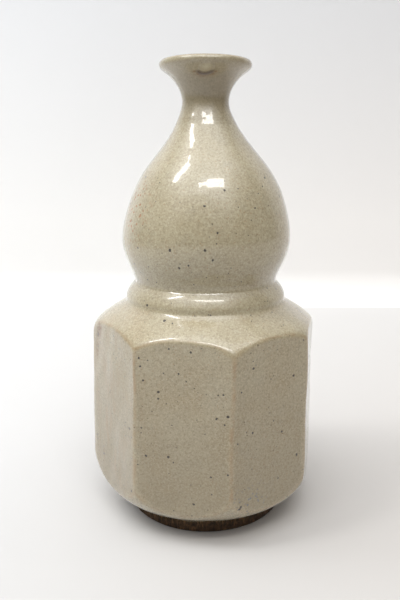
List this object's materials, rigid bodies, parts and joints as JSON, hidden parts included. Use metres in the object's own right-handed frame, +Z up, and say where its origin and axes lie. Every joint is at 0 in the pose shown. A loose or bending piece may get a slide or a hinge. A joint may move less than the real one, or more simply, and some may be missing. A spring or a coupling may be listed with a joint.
{
  "type": "sake bottle",
  "caption": "Glazed stoneware sake bottle: knife-faceted lower chamber on a bare foot ring, raised collar, pear-shaped upper chamber, slim neck and flared lip.",
  "frame": {"origin": "centre of the foot ring's resting face", "axes": "+Z up along the bottle's axis, -Y the front, +X to the front view's right"},
  "size_m": [0.1148, 0.1131, 0.2185],
  "materials": {
    "bare_stoneware": "dark brown fired clay, matt and slightly rough, scored by turning",
    "body_clay": "brown iron-bearing stoneware under the glaze",
    "outer_glaze": "glossy milky grey-beige glaze with iron specks, thin and tan on the cut edges",
    "liner_glaze": "the same glaze, poured inside"
  },
  "bodies": {
    "root": {"foot_ring": "bare_stoneware", "lower_chamber": "body_clay", "collar_band": "body_clay", "upper_chamber": "body_clay", "neck_and_lip": "body_clay", "lower_glaze": "outer_glaze", "collar_glaze": "outer_glaze", "upper_glaze": "outer_glaze", "neck_glaze": "outer_glaze", "liner_glaze": "liner_glaze"}
  },
  "joints": []
}
